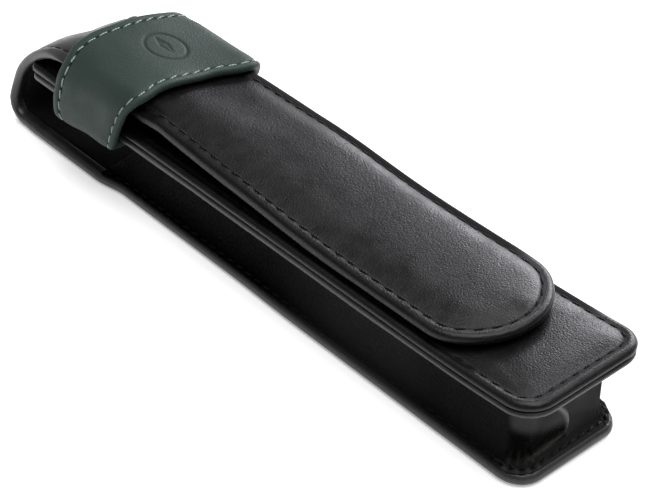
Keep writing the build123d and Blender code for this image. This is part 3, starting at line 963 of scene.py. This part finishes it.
def paint_gusset(mesh, x, y, z):
    """Painted highlight on the ridge and the pleats' crests; painted sheen on the flange, the far half and
    smooth upper part of the end wall, and along the long walls.
    """
    at_end = rise(x, 73.5, 2.0)
    above_flange = rise(z, 3.6, 1.0)
    ridge_highlight = ridge(y, z, 0.42) * (0.22 + 0.63 * rise(z, 5.5, 3.0))
    crests = np.clip(corner_pleats(x, y, z), 0.0, 1.0)
    crest_highlight = crests * (0.07 + 0.1 * rise(y, 2.0, 6.0))
    # Painted highlight on the ridge and the crests.
    paint(mesh, "scuff_and_highlight", at_end * np.maximum(ridge_highlight, crest_highlight))
    # Painted sheen on the end wall, the flange along it and the long walls.
    beyond = rise(y, end_crease(z) - 0.8, 0.8)
    upper_near = smooth((z - 6.3 + 0.32 * (y + 3.0)) / 2.5)
    painted_end_sheen = np.maximum(0.75 * beyond, upper_near) * above_flange
    painted_end_sheen = at_end * np.maximum(painted_end_sheen, 0.45 * (1 - above_flange))
    painted_wall_sheen = 0.28 * rise(x, 5.0, 30.0) - 0.14 * rise(x, 45.0, 12.0)
    paint(mesh, "painted_sheen", np.maximum(painted_end_sheen, painted_wall_sheen * (1.0 - at_end)))


paint_gusset(gusset_skin.data, *points_of(gusset_skin))
lining_heights = [3.0, *wall_heights[:-1:2]]
lining_section = [(2.8, z) for z in lining_heights] + [(3.3, z) for z in lining_heights[::-1]]
gusset_inside = loop_piece("gusset_lining_skin", gusset, lining_section, place_gusset, suede)


# --- Strap loop ---
def circle_x(z):
    """The flap-side edge of the strap: an arc through three points, running back on the way down."""
    end = STRAP_HIGH[0]
    x, height = np.array([(end, 29.6), (end - 5.24, 19.5), (end - 7.7, 11.0)]).T
    sums = np.stack([2 * x, 2 * height, np.ones(3)], 1)
    centre_x, centre_z, rest = np.linalg.solve(sums, x**2 + height**2)
    square = rest + centre_x**2 + centre_z**2 - (z - centre_z) ** 2
    return centre_x + math.copysign(1, end - centre_x) * np.sqrt(np.maximum(square, 0.0))


def near_side(y):
    return fall(y, -14.0, 6.0)


def flap_side_x(y, z):
    """The flap-side edge again, with the far end of the band leaning out over the flap."""
    lean = (0.6 + 1.1 * near_side(y)) * rise(z, 11, 4)
    return circle_x(z) + lean + 2.9 * rise(y, 4, 11) * rise(z, 17, 5)


def mouth_x(y, z):
    """The mouth-side edge of the strap; its near shoulder reaches a little further out."""
    shoulder = rise(y, -15.5, 4.0) * fall(y, -8.0, 8.0) * rise(z, 20.0, 5.0)
    return STRAP_LOW[0] - 0.16 + 1.6 * np.clip((z - 10.0) / 19.0, 0, 1) - 0.85 * shoulder


# The stitches' distance from each edge. The edges' profiles are drawn with it at GROOVE, then scaled.
MOUTH_MARGIN, FLAP_MARGIN, GROOVE = 2.6, 1.75, 1.8


def flap_margin(y):
    """How far the flap-side stitches stand from the edge: closer on the near side."""
    return FLAP_MARGIN - 0.4 * near_side(y)


def settle(x, z):
    """Lower down, the loop hangs a little towards the mouth."""
    low = fall(z, 14.0, 5.0)
    return low * (1.2 * fall(x, -58.0, 12.0) - 0.35 * rise(x, -52.0, 8.0))


def even_loop(fine, coarse):
    """Stations round the strap: close together on the crown, wider elsewhere."""
    along = distances(LOOP)
    at, marks = 0.0, []
    while at < along[-1] - coarse * 0.6:
        marks.append(at)
        y, z = along_line(at, along, LOOP)
        at += fine if (abs(y) < 7.5 and z > 20) else coarse
    return along_line(marks, along, LOOP), unit(along_line(marks, along, LOOP_NORMALS))


BADGE_X, BADGE_Y, BADGE_A, BADGE_B = -43.6, 1.9, 5.1, 4.2
NIB_HALF, NIB_WIDTH = 3.6, 1.35


def badge(x, y):
    """A pressed oval ring with a plain pen nib inside: depth of the pressing, 0 to 1."""
    a, b = x - BADGE_X, y - BADGE_Y
    ring = bump(np.hypot(a / BADGE_A, b / BADGE_B), 1.0, 0.07)
    width = NIB_WIDTH * np.clip(1 - np.abs(a + 0.4) / NIB_HALF, 0, 1) ** 0.7
    nib = smooth((width - np.abs(b)) / 0.35) * (np.abs(a + 0.4) < NIB_HALF)
    slit = bump(b, 0.0, 0.16) * rise(a, -0.2, 0.4) * (a < 3.0)
    hole = bump(np.hypot(a + 0.6, b), 0.0, 0.42)
    return np.clip(ring + 0.8 * nib - 0.9 * np.maximum(slit, hole) * nib, -0.3, 1.0)


OUTER_DEPTH = 0.6            # rings nearer the outside than this belong to the visible face


def strap_piece(name, edge, middle, faces_in, material, spacing, columns, pressed=False):
    """A closed band round the loop. edge and faces_in list (distance from the edge, depth)."""
    p, n = even_loop(*spacing)
    count = len(p)
    mouth, flap_side = mouth_x(*p.T), flap_side_x(*p.T)
    mouth_scale, flap_scale = MOUTH_MARGIN / GROOVE, flap_margin(p[:, 0]) / GROOVE

    def from_mouth(inset):
        return mouth + inset * mouth_scale

    def from_flap(inset):
        return flap_side - inset * flap_scale

    reach = edge[-1][0]
    across = [(from_mouth(a), a, d) for a, d in edge]
    across += [(between(from_mouth(reach), from_flap(reach), t), 0.0, middle) for t in columns]
    across += [(from_flap(a), a, d) for a, d in edge[::-1] + faces_in]
    across += [(from_mouth(a), a, d) for a, d in faces_in[::-1]]
    rings, points, scuff_and_highlight, painted_shade = [], [], [], []
    for x, inset, depth in across:
        outside = depth < OUTER_DEPTH
        mark = np.zeros(count)
        depth = np.full(count, float(depth))
        if outside:
            from_edge = np.minimum((x - mouth) / mouth_scale, (flap_side - x) / flap_scale)
            field = rise(from_edge, 2.4, 2.5)
            depth = depth - 0.12 * field - 0.05 * waves(x, p[:, 0], p[:, 1], 12.0, 21) * field
            if pressed:
                mark = badge(x, p[:, 0]) * (p[:, 1] > 22) * (np.abs(p[:, 0]) < 8)
                depth = depth + 0.25 * mark
        yz = p - n * depth[:, None]
        yz[:, 1] -= strap_sag(x, *p.T) + settle(x, p[:, 1])
        rings.append((np.arange(count) + len(points)).tolist())
        points.extend(np.stack([x, *yz.T], 1))
        # Painted highlight along both rims of the band; painted shade in the stitch groove and the pressed
        # badge.
        scuff_and_highlight.extend(bump(np.minimum(x - mouth, flap_side - x), 0.6, 0.7))
        groove = 0.9 * outside * bump(inset, GROOVE, 0.2)
        painted_shade.extend(np.clip(groove + 0.4 * mark, 0.0, 1.0))
    obj = make(name, np.array(points), sweep(rings, True, True), material, scuff_and_highlight)
    paint(obj.data, "painted_shade", painted_shade)
    return obj


strap_edge = [
    (0.02, 0.72), (0.08, 0.48), (0.24, 0.26), (0.5, 0.1), (0.85, 0.02), (1.15, 0.0), (1.4, 0.05),
    (1.56, 0.16), (1.74, 0.32), (1.9, 0.32), (2.14, 0.16), (2.5, 0.03), (3.2, 0.0),
]
strap_in = [
    (0.02, 1.05), (0.08, 1.35), (0.25, 1.62), (0.55, 1.78), (1.0, 1.82), (2.2, 1.8), (2.5, 1.35),
    (3.2, 1.25),
]
fine_columns = [*np.linspace(0.02, 0.2, 6), *np.linspace(0.22, 0.88, 66), *np.linspace(0.91, 0.99, 4)]
strap_skin = strap_piece(
    "strap_band", strap_edge, 0.0, strap_in, green, (0.25, 0.8), fine_columns, pressed=True,
)
strap_lining = strap_piece(
    "strap_lining_band", [(2.55, 1.5), (2.65, 1.3), (3.6, 1.3)], 1.3,
    [(2.6, 1.7), (2.9, 1.85), (4.0, 1.85)], green_inside, (1.0, 1.2), np.linspace(0.05, 0.95, 12),
)


# --- Seams ---
def strap_seam(name, x):
    """Pale stitches round the outside of the strap, where x says at each point of the loop."""
    y, z = (LOOP - LOOP_NORMALS * 0.20).T
    line = np.stack([x, y, z - strap_sag(x, y, z) - settle(x, LOOP[:, 1])], 1)
    normals = np.stack([0 * x, *LOOP_NORMALS.T], 1)
    return stitches(name, [(line, normals)], (2.95, 2.2, 0.42), mint_thread, slant=8)


def both_sides(outline, inset, height, place, **span):
    return [surface_run(outline, inset, height, place, near, **span) for near in (True, False)]


strap_thread_mouth = strap_seam("strap_stitches_mouth", mouth_x(*LOOP.T) + MOUTH_MARGIN)
strap_thread_flap = strap_seam("strap_stitches_flap", flap_side_x(*LOOP.T) - flap_margin(LOOP[:, 0]))

near_run, far_run = both_sides(flap, FLAP_SEAM, 0.957, place_flap)
flap_line = [np.concatenate([near, far[-2::-1]]) for near, far in zip(near_run, far_run)]
flap_thread = stitches("flap_stitches", [flap_line], BLACK_STITCH, black_thread, slant=7)

neck_runs = both_sides(strip, FLAP_SEAM, 0.10, place_strip, end=S_HEEL - 1.0)
neck_runs = [(line, -normals) for line, normals in neck_runs]
neck_thread = stitches("fold_stitches", neck_runs, (3.4, 2.5, 0.42), black_thread, slant=10)

front_runs = both_sides(front, FRONT_SEAM, 0.91, place_front)
front_thread = stitches("front_stitches", front_runs, (3.0, 2.1, 0.6), black_thread, slant=8)

gusset_runs = both_sides(gusset, 1.12, 3.34, place_gusset, end=END_SEAM)
gusset_runs += both_sides(gusset, 1.12, 3.34, place_gusset, start=END_SEAM)
gusset_sizes = [(2.9, 2.0, 0.36)] * 2 + [(2.3, 1.9, 0.7)] * 2
gusset_thread = stitches("gusset_stitches", gusset_runs, gusset_sizes, seam_thread, slant=12, sink=0.3)


# --- Lapped ends of the strap ---
def place_tab(x, y, n, d):
    return np.stack([x, y, between(TAB_LOW[2], TAB_HIGH[2], n)], 1)


tab_skin = slab(
    "strap_tab_skin",
    strip_outline(TAB_LOW[0], TAB_HIGH[0], TAB_HIGH[1], 2.0, 2.0, side=14, arc=5, flat=8, oval=3.0),
    [
        (2.6, 1.0), (1.0, 1.0), (0.4, 0.93), (0.1, 0.78), (0.0, 0.5), (0.1, 0.22), (0.4, 0.07),
        (1.0, 0.0), (2.6, 0.0),
    ],
    place_tab, green, True, across=10,
)

# --- Each piece, the bodies listed for it, its finish slot and the parts it stands for, which are hidden ---
# A piece on one body rides on it; a piece on two is left where it is drawn. The slot is listed but not
# applied here.
POCKET = ("pocket",)
FOLD = ("pocket", "flap_neck", (0, 0, 0.004), (0, 0, 0.0205))
BEND = ("flap_neck", "flap_end", (-0.012, 0, 0), (0.002, 0, 0))

for piece, bodies, slot, *nodes in (
    (strip_skin, FOLD, "case_leather", "back_outer", "fold_outer", "flap_neck_outer"),
    (strip_lining, FOLD, "lining_leather", "back_lining", "fold_lining", "flap_neck_lining"),
    (neck_thread, FOLD, "case_thread", "fold_thread", "flap_neck_thread"),
    (flap_skin, BEND, "case_leather", "flap_end_outer"),
    (flap_lining, BEND, "lining_leather", "flap_end_lining"),
    (flap_foam, BEND, "foam", "flap_neck_padding", "flap_end_padding"),
    (flap_thread, BEND, "case_thread", "flap_end_thread"),
    (back_board, POCKET, "board", "back_board"),
    (front_skin, POCKET, "case_leather", "front_outer"),
    (front_ply, POCKET, "lining_leather", "front_lining"),
    (front_thread, POCKET, "case_thread", "front_thread"),
    (gusset_skin, POCKET, "case_leather", "gusset_outer"),
    (gusset_inside, POCKET, "lining_leather", "gusset_lining"),
    (gusset_thread, POCKET, "case_thread", "back_thread"),
    (strap_skin, POCKET, "strap_leather", "strap_outer"),
    (strap_lining, POCKET, "strap_leather", "strap_lining"),
    (tab_skin, POCKET, "strap_leather", "strap_tab"),
    (strap_thread_mouth, POCKET, "strap_thread", "strap_thread_mouth"),
    (strap_thread_flap, POCKET, "strap_thread", "strap_thread_flap"),
):
    if len(bodies) == 1:
        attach(piece, *bodies)
    else:
        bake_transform(piece)
    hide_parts(*nodes)

front_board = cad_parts["front_board"].data
front_board.materials.clear()
front_board.materials.append(board)

# --- Floor, light and camera ---
FLOOR_REACH, FLOOR_DROP = 3.0, 0.00005       # metres
corners = [(FLOOR_REACH * x, FLOOR_REACH * y, 0) for x, y in ((-1, -1), (1, -1), (1, 1), (-1, 1))]
floor_mesh = bpy.data.meshes.new("floor")
floor_mesh.from_pydata(corners, [], [(0, 1, 2, 3)])
floor = add_object("floor", floor_mesh)
floor.location.z = -FLOOR_DROP
floor_material, _, floor_shader = new_material("floor_paint")
put(floor_shader, Base_Color=(0.9, 0.9, 0.9, 1), Roughness=0.9, Specular_IOR_Level=0.1)
put(floor_shader, Emission_Color=(1, 1, 1, 1), Emission_Strength=0.34)
floor_mesh.materials.append(floor_material)

world = bpy.data.worlds.new("studio")
world.use_nodes = True
put(world.node_tree.nodes["Background"], Color=(1, 1, 1, 1), Strength=0.23)
bpy.context.scene.world = world


def place_facing(name, data, location, back):
    """An object whose own Z axis, away from what it looks at, points along back."""
    obj = add_object(name, data)
    obj.location = location
    obj.rotation_euler = back.to_track_quat("Z", "Y").to_euler()
    return obj


def direction(azimuth, elevation):
    """The way to a place at that compass angle from +X and that height angle."""
    a, e = math.radians(azimuth), math.radians(elevation)
    return Vector((math.cos(a) * math.cos(e), math.sin(a) * math.cos(e), math.sin(e)))


LIGHT_AIM = Vector((0.0, 0.0, 0.015))
for name, azimuth, elevation, distance, width, height, watts, colour in (
    ("top_light", 20.0, 82.0, 1.3, 1.2, 1.2, 21.5, (1.0, 1.0, 1.0)),
    ("far_light", 106.0, 24.0, 1.0, 0.7, 0.3, 10.8, (1.0, 0.98, 1.04)),
):
    lamp = bpy.data.lights.new(name, "AREA")
    lamp.shape = "RECTANGLE"
    lamp.size, lamp.size_y, lamp.energy = width, height, watts
    lamp.color = colour
    back = direction(azimuth, elevation)
    place_facing(name, lamp, LIGHT_AIM + back * distance, back)

bpy.context.scene.view_settings.view_transform = "Standard"

CAMERA_AZIMUTH, CAMERA_ELEVATION = 49.2, 37.13       # degrees from the near side, and up
CAMERA_PLACE = Vector((0.22793, -0.18792, 0.22461))  # metres
CAMERA_LENS, CAMERA_FILM = 99.69, 36.0               # millimetres
camera = bpy.data.cameras.new("camera")
camera.sensor_width, camera.lens = CAMERA_FILM, CAMERA_LENS
camera.clip_start = 0.01
back = direction(CAMERA_AZIMUTH - 90.0, CAMERA_ELEVATION)
bpy.context.scene.camera = place_facing("camera", camera, CAMERA_PLACE, back)
